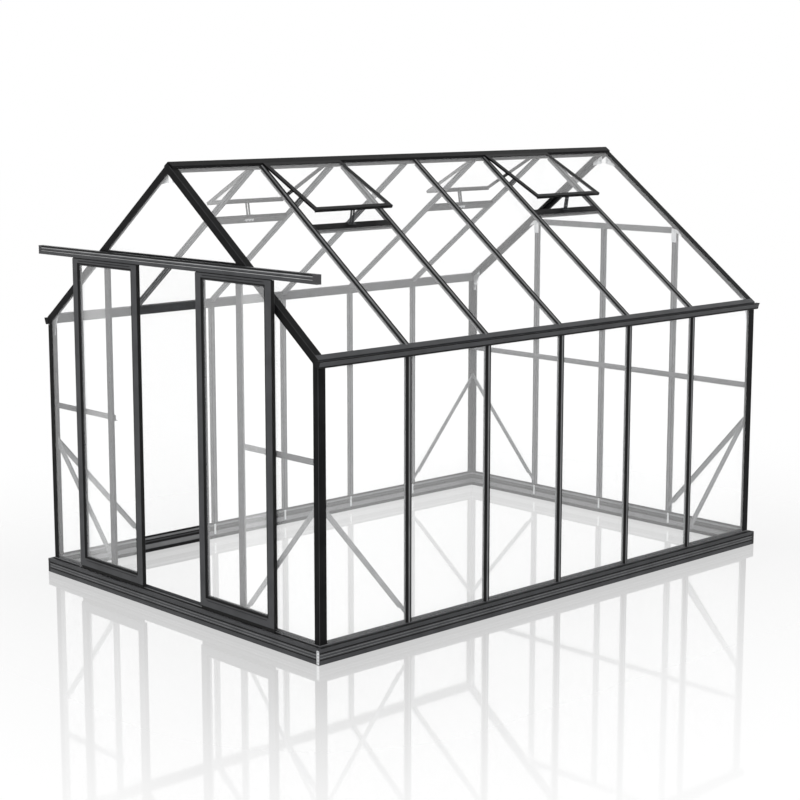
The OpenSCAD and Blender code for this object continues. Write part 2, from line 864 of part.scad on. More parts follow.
module vent_panes() {
  rebate = 8 - pane_gap;
  color("#e8eef0", 0.4)
    at_vents() on_vent()
      translate([vent_bar - rebate, -vent_width / 2 + vent_bar - rebate, -cap - pane])
        cube([vent_length - 2 * vent_bar + 2 * rebate, vent_width - 2 * vent_bar + 2 * rebate, pane]);
}

module vent_cill() {
  on_slope() {
    translate([cill_start, -bay / 2 + cap_width / 2, -pane_in])
      difference() {
        cube([cill_width, bay - cap_width, pane_in]);
        translate([cill_width / 2, -1, -0.1]) cube([cill_width, bay, pane + 0.1]);
      }
    translate([cill_start, -bay / 2 + box_width / 2, -bar_depth])
      difference() {
        cube([cill_width + cill_lap, bay - box_width, bar_depth - pane_in]);
        translate([box_wall, -1, box_wall])
          cube([cill_width + cill_lap - 2 * box_wall, bay, bar_depth - pane_in - 2 * box_wall]);
      }
  }
}

module vent_cills() {
  color("#26282b") at_vents() vent_cill();
}

// Stay: a pair of drilled arms from a foot plate on the cill up to a head plate under the vent's lower bar.
module vent_stay() {
  arm_wall = 3;
  head_plate = 2 * (stay_gap / 2 + arm_wall + 3);
  foot_x = (cill_start + 12) * cos_pitch;
  foot_z = ridge_z - (cill_start + 12) * sin(roof_pitch);
  head_s = vent_length - vent_bar / 2;
  head_x = vent_x + head_s * cos(vent_pitch) - vent_thick * sin(vent_pitch);
  head_z = vent_z - head_s * sin(vent_pitch) - vent_thick * cos(vent_pitch);
  reach = sqrt(pow(head_x - foot_x, 2) + pow(head_z - foot_z, 2));
  lean = atan2(head_x - foot_x, head_z - foot_z);
  difference() {
    translate([foot_x, 0, foot_z]) rotate([0, lean, 0])
      difference() {
        for (s = [0, 1])
          mirror([0, s, 0])
            translate([-stay_arm / 2, stay_gap / 2, -20]) cube([stay_arm, arm_wall, reach + 40]);
        for (at = [0.25, 0.5, 0.75])
          translate([0, 0, at * reach]) rotate([90, 0, 0]) cylinder(d = 5, h = 40, center = true);
      }
    on_slope() translate([0, -60, -80]) cube([slope_length, 120, 80]);
    on_vent() translate([0, -60, -vent_thick]) cube([vent_length + 60, 120, 80]);
  }
  on_slope() translate([cill_start, -stay_foot / 2, 0]) cube([24, stay_foot, 2]);
  on_vent() translate([vent_length - vent_bar + 2, -head_plate / 2, -vent_thick - 2])
    cube([vent_bar - 7, head_plate, 2]);
}

module vent_stays() {
  color("#9a9ea2") at_vents() vent_stay();
}

// ---------- sliding doors ----------

// C-shaped track seen from its end: x forward from the wall's outer face, y up from its lower edge.
// Its front has two broad ridges with a groove between them and a set-back top edge.
module track_section() {
  slot = track_depth - track_wall - track_face - 2 * track_lip;
  back = track_depth - 2.2;
  h = track_height;
  difference() {
    polygon([
      [0, 0], [track_depth - 1, 0], [track_depth, 1], [track_depth, 0.33 * h], [back, 0.4 * h],
      [back, 0.47 * h], [track_depth, 0.51 * h], [track_depth, 0.72 * h], [back, 0.83 * h],
      [back, h], [0, h]
    ]);
    translate([track_wall, track_wall])
      square([track_depth - track_wall - track_face, h - 2 * track_wall]);
    translate([track_wall + track_lip, -1]) square([slot, track_wall + 2]);
  }
}

track_lip = 8;
track_mid = half_l + (track_depth + track_wall - track_face) / 2;

module door_track() {
  run = track_half - track_cap;
  color("#26282b")
    translate([run, -half_l, track_bottom])
      rotate([90, 0, -90]) linear_extrude(2 * run) track_section();
}

// Moulded cap that carries on the track's outline and closes its end.
module track_end_cap() {
  wall = 2.5;
  translate([track_half - track_cap, -half_l - track_depth, track_bottom])
    difference() {
      cube([track_cap, track_depth, track_height]);
      translate([-1, wall, wall]) cube([track_cap + 1 - wall, track_depth - 2 * wall, track_height - 2 * wall]);
      for (z = [0.28, 0.5, 0.72])
        translate([wall, -1, z * track_height - 1.5]) cube([track_cap, 1 + wall / 2, 3]);
    }
}

module track_end_caps() {
  color("#1b1c1e")
    for (s = [0, 1]) mirror([s, 0, 0]) track_end_cap();
}

// Outline of a leaf's opening, made larger by the given margin on every side.
module leaf_opening(margin) {
  height = leaf_top - leaf_bottom;
  translate([stile - margin, stile - margin])
    square([leaf_width - 2 * stile + 2 * margin, height - stile - top_rail + 2 * margin]);
}

// Right-hand leaf, lower inner corner at x = leaf_offset: a step round the pane and a groove along each rail.
module leaf_frame() {
  height = leaf_top - leaf_bottom;
  groove_from = leaf_step + 10;
  groove = 4;
  step_z = (leaf_thick + pane) / 2 + 2;
  translate([leaf_offset, -leaf_back, leaf_bottom])
    rotate([90, 0, 0])
      difference() {
        linear_extrude(leaf_thick)
          difference() {
            square([leaf_width, height]);
            leaf_opening(0);
          }
        translate([0, 0, (leaf_thick - pane) / 2]) linear_extrude(pane) leaf_opening(pane_lip);
        translate([0, 0, step_z]) linear_extrude(leaf_thick) leaf_opening(leaf_step);
        for (y = [stile - groove_from - groove, height - top_rail + groove_from])
          translate([stile, y, leaf_thick - 2]) cube([leaf_width - 2 * stile, groove, 3]);
      }
}

module leaf_pane() {
  translate([leaf_offset, -leaf_mid + pane / 2, leaf_bottom])
    rotate([90, 0, 0]) linear_extrude(pane) leaf_opening(pane_lip - pane_gap);
}

// Two hangers with a pair of wheels each, which run on the track's lips.
module leaf_rollers() {
  wheel_z = track_bottom + track_wall + roller_gap + roller_d / 2;
  for (x = [90, leaf_width - 90])
    translate([leaf_offset + x, -track_mid, 0]) {
      translate([-20, -1.5, leaf_top]) cube([40, 3, wheel_z + 6 - leaf_top]);
      for (s = [-1, 1])
        translate([0, s * (track_lip / 2 + 3), wheel_z])
          rotate([90, 0, 0]) cylinder(d = roller_d, h = 5, center = true);
      translate([0, 0, wheel_z]) rotate([90, 0, 0]) cylinder(d = 6, h = 19, center = true);
    }
}

module door_frame_right() {
  color("#2b2d30") leaf_frame();
}

module door_frame_left() {
  color("#2b2d30") mirror([1, 0, 0]) leaf_frame();
}

module door_pane_right() {
  color("#e8eef0", 0.4) leaf_pane();
}

module door_pane_left() {
  color("#e8eef0", 0.4) mirror([1, 0, 0]) leaf_pane();
}

module door_rollers_right() {
  color("#3a3c3e") leaf_rollers();
}

module door_rollers_left() {
  color("#3a3c3e") mirror([1, 0, 0]) leaf_rollers();
}

base_front();
base_back();
base_left();
base_right();
base_corner_plates();
corner_posts();
side_bars_left();
side_bars_right();
door_jambs();
back_posts();
gutter_left();
gutter_right();
ridge();
gable_rafters_front();
gable_rafters_back();
roof_bars_left();
roof_bars_right();
door_header();
back_collar();
mid_rails_front();
mid_rail_back();
braces_side();
braces_gable();
gussets();
foot_brackets();
door_track();
track_end_caps();
side_panes_left();
side_panes_right();
front_panes();
back_panes();
roof_panes_left();
roof_panes_right();
vent_frames();
vent_panes();
vent_cills();
vent_stays();
door_frame_left();
door_pane_left();
door_rollers_left();
door_frame_right();
door_pane_right();
door_rollers_right();
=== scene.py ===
"""Looks of the greenhouse: finishes, small fittings, studio floor, light and camera."""
import json
import math

import bmesh
import bpy
from mathutils import Matrix, Vector


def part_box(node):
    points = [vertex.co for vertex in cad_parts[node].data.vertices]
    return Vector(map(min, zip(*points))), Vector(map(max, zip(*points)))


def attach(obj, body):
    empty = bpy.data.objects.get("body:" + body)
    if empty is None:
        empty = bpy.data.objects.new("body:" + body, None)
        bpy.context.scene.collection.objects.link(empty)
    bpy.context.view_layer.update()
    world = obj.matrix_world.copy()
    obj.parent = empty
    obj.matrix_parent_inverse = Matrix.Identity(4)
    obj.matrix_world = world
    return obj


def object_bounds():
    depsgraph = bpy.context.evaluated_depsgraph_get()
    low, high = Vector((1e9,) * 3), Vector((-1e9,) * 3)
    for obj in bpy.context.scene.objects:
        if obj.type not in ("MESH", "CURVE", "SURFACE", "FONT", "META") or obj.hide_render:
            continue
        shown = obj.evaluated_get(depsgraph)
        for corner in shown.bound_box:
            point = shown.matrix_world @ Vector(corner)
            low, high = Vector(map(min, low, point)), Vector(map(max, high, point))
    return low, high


MM = 0.001


def in_mm(*points):
    """The given points or bands, written in millimetres, as metres."""
    return tuple(tuple(value * MM for value in point) for point in points)


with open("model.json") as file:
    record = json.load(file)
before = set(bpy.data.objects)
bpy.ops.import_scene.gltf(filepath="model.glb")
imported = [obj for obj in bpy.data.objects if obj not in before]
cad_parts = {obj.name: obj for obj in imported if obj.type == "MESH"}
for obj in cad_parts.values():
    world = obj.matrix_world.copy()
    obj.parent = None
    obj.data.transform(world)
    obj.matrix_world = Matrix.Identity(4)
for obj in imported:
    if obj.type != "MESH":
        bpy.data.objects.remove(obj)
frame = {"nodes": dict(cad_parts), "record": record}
cad_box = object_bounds()
nodes = frame["nodes"]
scene = bpy.context.scene


# ---------- camera ----------

# Fitted to the photo with a small shift, so that other views hold the whole house.
CAMERA_AT = Vector((8.1447, -7.8787, 2.9547))
CAMERA_YAW = math.radians(48.3568)
CAMERA_DOWN = math.radians(9.0041)
CAMERA_ROLL = math.radians(-0.2928)
CAMERA_LENS = 80.73
CAMERA_SHIFT = (0.08, -0.0239)
SENSOR_WIDTH = 36.0
CLIP_END = 200.0


def make_camera():
    """Camera at the photo's viewing angle."""
    data = bpy.data.cameras.new("camera")
    data.lens = CAMERA_LENS
    data.sensor_width = SENSOR_WIDTH
    data.shift_x, data.shift_y = CAMERA_SHIFT
    data.clip_end = CLIP_END
    camera = bpy.data.objects.new("camera", data)
    scene.collection.objects.link(camera)
    level = Vector((math.cos(CAMERA_YAW), math.sin(CAMERA_YAW), 0))
    forward = Vector((
        -math.sin(CAMERA_YAW) * math.cos(CAMERA_DOWN),
        math.cos(CAMERA_YAW) * math.cos(CAMERA_DOWN),
        -math.sin(CAMERA_DOWN),
    ))
    up = level.cross(forward)
    right = level * math.cos(CAMERA_ROLL) + up * math.sin(CAMERA_ROLL)
    up = up * math.cos(CAMERA_ROLL) - level * math.sin(CAMERA_ROLL)
    turn = Matrix((right, up, -forward)).transposed().to_4x4()
    camera.matrix_world = Matrix.Translation(CAMERA_AT) @ turn
    scene.camera = camera


# ---------- materials ----------


def new_material(name):
    """A material with its node tree and its shader."""
    material = bpy.data.materials.new(name)
    material.use_nodes = True
    tree = material.node_tree
    return material, tree, tree.nodes["Principled BSDF"]


def noise(tree, scale, detail=3.0, stretch=(1, 1, 1)):
    """Noise over the object's own space, drawn out along the axes whose stretch is small."""
    place = tree.nodes.new("ShaderNodeTexCoord")
    mapping = tree.nodes.new("ShaderNodeMapping")
    mapping.inputs["Scale"].default_value = stretch
    texture = tree.nodes.new("ShaderNodeTexNoise")
    texture.inputs["Scale"].default_value = scale
    texture.inputs["Detail"].default_value = detail
    tree.links.new(place.outputs["Object"], mapping.inputs["Vector"])
    tree.links.new(mapping.outputs["Vector"], texture.inputs["Vector"])
    return texture


def ramp(tree, source, low, high):
    """Colour from low to high over the middle of the noise's range."""
    node = tree.nodes.new("ShaderNodeValToRGB")
    first, last = node.color_ramp.elements
    first.position, last.position = 0.3, 0.7
    first.color = (*low, 1)
    last.color = (*high, 1)
    tree.links.new(source.outputs["Fac"], node.inputs["Fac"])
    return node


def span(tree, source, low, high):
    """A number from low to high over the noise's range."""
    node = tree.nodes.new("ShaderNodeMapRange")
    node.inputs["To Min"].default_value = low
    node.inputs["To Max"].default_value = high
    tree.links.new(source.outputs["Fac"], node.inputs["Value"])
    return node


def bump(tree, shader, source, height, strength):
    """Bump the surface by the noise, up to the height in metres."""
    node = tree.nodes.new("ShaderNodeBump")
    node.inputs["Distance"].default_value = height
    node.inputs["Strength"].default_value = strength
    tree.links.new(source.outputs["Fac"], node.inputs["Height"])
    tree.links.new(node.outputs["Normal"], shader.inputs["Normal"])


def coated_metal(name, low, high, specular, roughness=(0.34, 0.46)):
    """Satin powder coat: a dark tone with faint clouding and a fine orange-peel surface."""
    material, tree, shader = new_material(name)
    clouds = noise(tree, 9.0)
    peel = noise(tree, 900.0, 2.0)
    tree.links.new(ramp(tree, clouds, low, high).outputs["Color"], shader.inputs["Base Color"])
    tree.links.new(span(tree, noise(tree, 40.0), *roughness).outputs["Result"], shader.inputs["Roughness"])
    shader.inputs["Specular IOR Level"].default_value = specular
    bump(tree, shader, peel, 0.05 * MM, 0.5)
    return material


def bare_metal(name, low, high):
    """Rolled aluminium: streaks along the height and a soft sheen."""
    material, tree, shader = new_material(name)
    streaks = noise(tree, 60.0, 4.0, (1, 1, 0.08))
    tree.links.new(ramp(tree, streaks, low, high).outputs["Color"], shader.inputs["Base Color"])
    tree.links.new(span(tree, streaks, 0.28, 0.42).outputs["Result"], shader.inputs["Roughness"])
    shader.inputs["Metallic"].default_value = 0.85
    bump(tree, shader, streaks, 0.02 * MM, 0.4)
    return material


def math_node(tree, operation, *values):
    """A Math node whose inputs are numbers or the outputs of other nodes."""
    node = tree.nodes.new("ShaderNodeMath")
    node.operation = operation
    for slot, value in zip(node.inputs, values):
        if isinstance(value, (int, float)):
            slot.default_value = value
        else:
            tree.links.new(value, slot)
    return node.outputs["Value"]


HOLE_INSET = 10 * MM
HOLE_PITCH = 18 * MM
HOLE_RADIUS = 3.2 * MM
# Dark tone of the screw holes, also laid over the whole strip on the back and left corners as painted shade.
HOLE_AND_SHADE_TONE = (0.012, 0.012, 0.013, 1)


def strip_metal(name):
    """Bare aluminium corner strips with a row of dark screw holes; on the back and left corners the strips
    take the holes' dark tone, which is painted shade.
    """
    material, tree, shader = new_material(name)
    streaks = noise(tree, 60.0, 4.0, (1, 1, 0.08))
    bright = ramp(tree, streaks, (0.5, 0.51, 0.52), (0.75, 0.76, 0.77))
    place = tree.nodes.new("ShaderNodeTexCoord")
    split = tree.nodes.new("ShaderNodeSeparateXYZ")
    tree.links.new(place.outputs["Object"], split.inputs["Vector"])
    from_x = math_node(tree, "SUBTRACT", cad_box[1].x, math_node(tree, "ABSOLUTE", split.outputs["X"]))
    from_y = math_node(tree, "SUBTRACT", cad_box[1].y, math_node(tree, "ABSOLUTE", split.outputs["Y"]))
    along = math_node(tree, "SUBTRACT", math_node(tree, "MAXIMUM", from_x, from_y), HOLE_INSET)
    up = math_node(tree, "WRAP", split.outputs["Z"], HOLE_PITCH / 2, -HOLE_PITCH / 2)
    square = math_node(tree, "ADD", math_node(tree, "POWER", along, 2), math_node(tree, "POWER", up, 2))
    hole = math_node(tree, "LESS_THAN", square, HOLE_RADIUS ** 2)
    # The back and left corners take the dark tone: painted shade.
    back = math_node(tree, "GREATER_THAN", split.outputs["Y"], 0.0)
    left = math_node(tree, "LESS_THAN", split.outputs["X"], 0.0)
    shaded_corners = math_node(tree, "MAXIMUM", back, left)
    hole_and_shade_mix = tree.nodes.new("ShaderNodeMix")
    hole_and_shade_mix.data_type = "RGBA"
    hole_and_shade_mix.inputs["B"].default_value = HOLE_AND_SHADE_TONE
    tree.links.new(math_node(tree, "MAXIMUM", hole, shaded_corners), hole_and_shade_mix.inputs["Factor"])
    tree.links.new(bright.outputs["Color"], hole_and_shade_mix.inputs["A"])
    tree.links.new(hole_and_shade_mix.outputs["Result"], shader.inputs["Base Color"])
    tree.links.new(span(tree, streaks, 0.3, 0.42).outputs["Result"], shader.inputs["Roughness"])
    shader.inputs["Metallic"].default_value = 0.6
    bump(tree, shader, streaks, 0.02 * MM, 0.4)
    return material


def moulded_plastic(name, low, high, roughness=(0.5, 0.62), specular=0.5):
    """Moulded plastic or rubber with a fine grain."""
    material, tree, shader = new_material(name)
    grain = noise(tree, 1400.0, 2.0)
    tree.links.new(ramp(tree, grain, low, high).outputs["Color"], shader.inputs["Base Color"])
    tree.links.new(span(tree, noise(tree, 80.0), *roughness).outputs["Result"], shader.inputs["Roughness"])
    shader.inputs["Specular IOR Level"].default_value = specular
    bump(tree, shader, grain, 0.04 * MM, 0.4)
    return material


PANE_HAZE = (0.09, 0.11)


def pane_sheet(name):
    """Clear polycarbonate: each face of the sheet adds a thin milky veil over what is behind it."""
    material, tree, shader = new_material(name)
    drift = noise(tree, 1.6, 2.0)
    tree.links.new(
        ramp(tree, drift, (0.985, 0.995, 0.998), (1.0, 1.0, 1.0)).outputs["Color"],
        shader.inputs["Base Color"],
    )
    tree.links.new(span(tree, drift, *PANE_HAZE).outputs["Result"], shader.inputs["Alpha"])
    tree.links.new(span(tree, noise(tree, 12.0), 0.12, 0.2).outputs["Result"], shader.inputs["Roughness"])
    bump(tree, shader, noise(tree, 5.0, 1.0), 0.3 * MM, 0.15)
    return material


FRAME_COAT = coated_metal("near_black_coat", (0.003, 0.003, 0.0032), (0.006, 0.006, 0.0065), 0.08)
PROFILE_COAT = coated_metal("anthracite_coat", (0.021, 0.022, 0.024), (0.034, 0.035, 0.038), 0.3)
BRIGHT = bare_metal("bare_aluminium", (0.55, 0.56, 0.57), (0.8, 0.81, 0.82))
CLEAR = pane_sheet("clear_sheet")
# The bars' coat is set lighter than the anthracite coat of the other profiles to stand in for their sheen:
# painted highlight. The sill bead, the back gable's members, the cover faces and the ledge screws take it
# too.
BAR_COAT_PAINTED_SHEEN = coated_metal("bar_coat_painted_sheen", (0.085, 0.087, 0.09), (0.125, 0.127, 0.13), 0.4)
# Coat of the braces, also used for the light lines on the base rail's beads, which are painted highlights.
BRACE_AND_HIGHLIGHT_COAT = coated_metal("brace_coat_and_highlight", (0.12, 0.122, 0.125), (0.17, 0.172, 0.175), 0.4, (0.4, 0.5))
# Light coat for the painted highlight lines along the track's ridges.
TRACK_HIGHLIGHT_COAT = coated_metal("painted_highlight_coat", (0.2, 0.202, 0.205), (0.3, 0.302, 0.305), 0.5, (0.36, 0.46))
STRIP_METAL = strip_metal("corner_strip_metal")
# Black rubber for the gaskets, seals and end plates, also used for the dark strips that are painted shade in
# the grooves, on the ledge, on the cover flanks, on the track, on the gutter and beside the leaf's stile.
BLACK_RUBBER_AND_SHADE = moulded_plastic("black_rubber_and_painted_shade", (0.003, 0.003, 0.003), (0.007, 0.007, 0.007), (0.6, 0.75), 0.15)
NYLON = moulded_plastic("roller_nylon", (0.05, 0.05, 0.05), (0.08, 0.08, 0.08))
END_CAP = moulded_plastic("end_cap_plastic", (0.018, 0.018, 0.02), (0.03, 0.03, 0.033))

SLOT_LOOKS = {
    "frame": FRAME_COAT,
    "profile": PROFILE_COAT,
    "bare_metal": BRIGHT,
    "pane": CLEAR,
    "roller": NYLON,
    "cap_plastic": END_CAP,
}

# Nodes whose coat differs from their slot's.
NODE_LOOKS = {
    "side_bars_left": BAR_COAT_PAINTED_SHEEN,
    "side_bars_right": BAR_COAT_PAINTED_SHEEN,
    "roof_bars_left": BAR_COAT_PAINTED_SHEEN,
    "roof_bars_right": BAR_COAT_PAINTED_SHEEN,
    "back_posts": BAR_COAT_PAINTED_SHEEN,
    "back_collar": BAR_COAT_PAINTED_SHEEN,
    "mid_rail_back": BAR_COAT_PAINTED_SHEEN,
    "braces_side": BRACE_AND_HIGHLIGHT_COAT,
    "braces_gable": BRACE_AND_HIGHLIGHT_COAT,
    "base_corner_plates": STRIP_METAL,
    "vent_stays": PROFILE_COAT,
}


def dress_nodes():
    """Give each CAD node its material. The panes cast no shadow."""
    for sub in frame["record"]["subparts"]:
        piece = nodes[sub["node"]]
        piece.data.materials.clear()
        look = NODE_LOOKS.get(sub["node"], SLOT_LOOKS[sub["material_slot"]])
        piece.data.materials.append(look)
        if sub["material_slot"] == "pane":
            piece.visible_shadow = False


# ---------- mesh helpers ----------

ACROSS = Vector((1, 0, 0))
ALONG = Vector((0, 1, 0))
UPWARD = Vector((0, 0, 1))


def finish_piece(bm, name, look, body="greenhouse"):
    """Turn the mesh into a named piece with its material and body."""
    bmesh.ops.remove_doubles(bm, verts=bm.verts, dist=1e-6)
    bmesh.ops.recalc_face_normals(bm, faces=bm.faces)
    mesh = bpy.data.meshes.new(name)
    bm.to_mesh(mesh)
    bm.free()
    piece = bpy.data.objects.new(name, mesh)
    scene.collection.objects.link(piece)
    mesh.materials.append(look)
    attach(piece, body)


def loft(bm, rings, closed=False):
    """Skin a row of equal rings of points, with end caps unless the row closes on itself."""
    rows = [[bm.verts.new(point) for point in ring] for ring in rings]
    count = len(rows[0])
    pairs = list(zip(rows, rows[1:]))
    if closed:
        pairs.append((rows[-1], rows[0]))
    for low, high in pairs:
        for i in range(count):
            j = (i + 1) % count
            bm.faces.new((low[i], low[j], high[j], high[i]))
    if not closed:
        bm.faces.new(list(reversed(rows[0])))
        bm.faces.new(rows[-1])


def run_strip(bm, outline, start, end, across, out):
    """A strip with the given outline (across, out) from start to end."""
    rings = [[place + across * u + out * v for u, v in outline] for place in (start, end)]
    loft(bm, rings)


def flat_strip(low, high, proud):
    """Outline of a flat strip with eased edges: (distance across, height)."""
    return ((low, 0), (low + 0.3 * MM, proud), (high - 0.3 * MM, proud), (high, 0))


def run_frame(bm, outline, low, high, across, up, out):
    """A mitred rectangular frame: the outline is (distance inward from the edge, height outward)."""
    corners = (
        (low[0], low[1], 1, 1), (high[0], low[1], -1, 1),
        (high[0], high[1], -1, -1), (low[0], high[1], 1, -1),
    )
    rings = [
        [across * (x + sx * u) + up * (z + sz * u) + out * v for u, v in outline]
        for x, z, sx, sz in corners
    ]
    loft(bm, rings, closed=True)


def turned(bm, place, axis, profile, sides):
    """A solid of revolution about the axis: the profile is (radius, height) from the foot to the tip."""
    side = axis.orthogonal().normalized()
    other = axis.cross(side)
    rings = []
    for radius, height in profile:
        ring = []
        for k in range(sides):
            turn = 2 * math.pi * k / sides
            ring.append(place + axis * height + (side * math.cos(turn) + other * math.sin(turn)) * radius)
        rings.append(ring)
    loft(bm, rings)


# Profiles of a nut's parts in shares of its size: (radius, height).
WASHER = ((0.72, 0), (0.72, 0.1), (0.66, 0.13))
HEXAGON = ((0.54, 0.13), (0.577, 0.19), (0.577, 0.52), (0.5, 0.6))
BOLT_END = ((0.29, 0.5), (0.29, 0.8), (0.2, 0.88))


def hex_nut(bm, place, axis, size=10 * MM):
    """Washer, chamfered hexagon and the bolt's rounded end."""
    for profile, sides in ((WASHER, 20), (HEXAGON, 6), (BOLT_END, 12)):
        turned(bm, place, axis, [(radius * size, height * size) for radius, height in profile], sides)


# Profile of a screw head in shares of its radius: (radius, height).
DOME = ((1, 0), (1, 0.25), (0.86, 0.5), (0.5, 0.66), (0.36, 0.68), (0.24, 0.3))
HEAD_RADIUS = 4.5 * MM


def pan_head(bm, place, axis):
    """Domed screw head with a sunk drive."""
    turned(bm, place, axis, [(radius * HEAD_RADIUS, height * HEAD_RADIUS) for radius, height in DOME], 14)


# ---------- sizes of the part, and places taken from the frame ----------

BAY = 620 * MM
SIDE_BAYS = 6
CAP = 3 * MM
ROOF_PITCH = math.radians(37.4)
EAVE_HEIGHT = 1622.5 * MM
BAR_DEPTH = 20 * MM
GUTTER_WALL = 3 * MM
RIDGE_HALF = 39 * MM

HALF_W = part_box("side_panes_right")[1].x + CAP
HALF_L = -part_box("front_panes")[0].y + CAP
BASE_OUT_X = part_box("base_right")[1].x
BASE_OUT_Y = -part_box("base_front")[0].y
GUTTER_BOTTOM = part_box("gutter_right")[0].z
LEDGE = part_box("side_bars_right")[0].z
RIDGE_Z = EAVE_HEIGHT + HALF_W * math.tan(ROOF_PITCH)
GUTTER_INNER = HALF_W - BAR_DEPTH - GUTTER_WALL


def bar_lines():
    """Y of each inner bay line."""
    return [(k - SIDE_BAYS / 2) * BAY for k in range(1, SIDE_BAYS)]


def roof_point(side, x, y, out=0.0):
    """Point on the roof's outer face, moved out along its normal."""
    z = RIDGE_Z - x * math.tan(ROOF_PITCH)
    return Vector((side * (x + out * math.sin(ROOF_PITCH)), y, z + out * math.cos(ROOF_PITCH)))


def roof_normal(side):
    """Outward normal of the roof slope on one side."""
    return Vector((side * math.sin(ROOF_PITCH), 0, math.cos(ROOF_PITCH)))


# ---------- bars ----------

# Glazing gasket between a bar's rib and the edge of its cap: (distance from the bar's middle, height).
GASKET = in_mm(
    (7.6, 0), (7.6, 3.3), (9, 3.2), (11, 2.4), (14, 2.2), (20, 1.1), (22, 0.3), (22, 0),
)

# Snap-on cover over the rib of a wall bar, with dark flanks as painted shade and a lighter face as painted
# highlight: (across, height).
COVER_SHADED_FLANKS = in_mm(
    (-7.9, 2), (-7.9, 3.6), (-6.5, 5), (-6.3, 7.2), (6.3, 7.2), (6.5, 5), (7.9, 3.6), (7.9, 2),
)
COVER_LIT_FACE = in_mm((-6, 7), (-5.4, 7.9), (5.4, 7.9), (6, 7))
COVER_GAP = 4 * MM


def gasket_pair(bm, start, end, across, out):
    """Gaskets on both sides of a bar."""
    for hand in (-1, 1):
        run_strip(bm, [(hand * u, v) for u, v in GASKET], start, end, across, out)


def make_bar_gaskets():
    """Gaskets along the side bars, the roof bars and the back gable's posts."""
    for side, name in ((1, "bar_gaskets_right"), (-1, "bar_gaskets_left")):
        bm = bmesh.new()
        for y in bar_lines():
            foot = Vector((side * HALF_W, y, LEDGE))
            head = Vector((side * HALF_W, y, GUTTER_BOTTOM))
            gasket_pair(bm, foot, head, ALONG, ACROSS * side)
        finish_piece(bm, name, BLACK_RUBBER_AND_SHADE)
    for side, name in ((1, "roof_gaskets_right"), (-1, "roof_gaskets_left")):
        bm = bmesh.new()
        for y in bar_lines():
            gasket_pair(
                bm, roof_point(side, RIDGE_HALF + 1 * MM, y), roof_point(side, GUTTER_INNER, y),
                ALONG, roof_normal(side),
            )
        finish_piece(bm, name, BLACK_RUBBER_AND_SHADE)
    bm = bmesh.new()
    post_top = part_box("back_posts")[1].z
    for k in (-1, 0, 1):
        gasket_pair(bm, Vector((k * BAY, HALF_L, LEDGE)), Vector((k * BAY, HALF_L, post_top)), ACROSS, ALONG)
    finish_piece(bm, "post_gaskets_back", BLACK_RUBBER_AND_SHADE)


def make_bar_covers():
    """Snap-on covers on the side bars, with painted shade on their flanks and a painted highlight on their
    faces.
    """
    lines = [(Vector((side * HALF_W, y, 0)), ALONG, ACROSS * side) for side in (-1, 1) for y in bar_lines()]
    for outline, name, look in (
        (COVER_SHADED_FLANKS, "bar_cover_shaded_flanks", BLACK_RUBBER_AND_SHADE), (COVER_LIT_FACE, "bar_cover_lit_faces", BAR_COAT_PAINTED_SHEEN),
    ):
        bm = bmesh.new()
        for place, across, out in lines:
            start = place + UPWARD * (LEDGE + 1 * MM)
            end = place + UPWARD * (GUTTER_BOTTOM - COVER_GAP)
            run_strip(bm, outline, start, end, across, out)
        finish_piece(bm, name, look)


# Dark lines along both edges of a bar's inner face: (distance from the bar's middle, height).
BOX_LINE = in_mm((9.5, 0), (9.9, 0.5), (14.1, 0.5), (14.5, 0))
RIDGE_CLEAR = 18 * MM


def line_pair(bm, start, end, across, out):
    """Dark lines along both edges of a bar's inner face."""
    for hand in (-1, 1):
        run_strip(bm, [(hand * u, v) for u, v in BOX_LINE], start, end, across, out)


def make_bar_lines():
    """Dark lines inside on the side bars, roof bars, back posts and door jambs."""
    foot_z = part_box("foot_brackets")[1].z + 2 * MM
    post_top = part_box("back_posts")[1].z
    jamb_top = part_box("door_jambs")[1].z
    bm = bmesh.new()
    for side in (-1, 1):
        inner = side * (HALF_W - BAR_DEPTH)
        for y in bar_lines():
            foot = Vector((inner, y, foot_z))
            head = Vector((inner, y, GUTTER_BOTTOM))
            line_pair(bm, foot, head, ALONG, ACROSS * -side)
            start = roof_point(side, RIDGE_HALF + RIDGE_CLEAR, y, -BAR_DEPTH)
            end = roof_point(side, GUTTER_INNER, y, -BAR_DEPTH)
            line_pair(bm, start, end, ALONG, -roof_normal(side))
    inner = HALF_L - BAR_DEPTH
    for k in (-1, 0, 1):
        line_pair(bm, Vector((k * BAY, inner, foot_z)), Vector((k * BAY, inner, post_top)), ACROSS, -ALONG)
    for k in (-1, 1):
        line_pair(bm, Vector((k * BAY, -inner, foot_z)), Vector((k * BAY, -inner, jamb_top)), ACROSS, ALONG)
    finish_piece(bm, "bar_inner_lines", BLACK_RUBBER_AND_SHADE)


# ---------- base rail ----------

# Cover strip on the base rail's outer face: (distance outward, height).
BASE_STRIP = in_mm(
    (-0.4, 0.8), (1.3, 1.6), (1.3, 23), (0.1, 24), (0.1, 31), (0.5, 32), (1.2, 35.5), (1.3, 38.5),
    (1.1, 41.5), (0.5, 43), (0.5, 49.5), (1.1, 51), (1.3, 54), (1.1, 57.5), (0.5, 59),
    (0.1, 60), (0.1, 68), (1.3, 69), (1.3, 85), (-0.4, 86.4),
)
# Lower and upper edges of the dark strips in the grooves, which are painted shade, and of the light lines on
# the beads, which are painted highlights.
BASE_GROOVE_SHADE = in_mm((24.1, 30.9), (60.1, 67.9))
BASE_BEAD_HIGHLIGHTS = in_mm((37.2, 40), (52.8, 55.4))
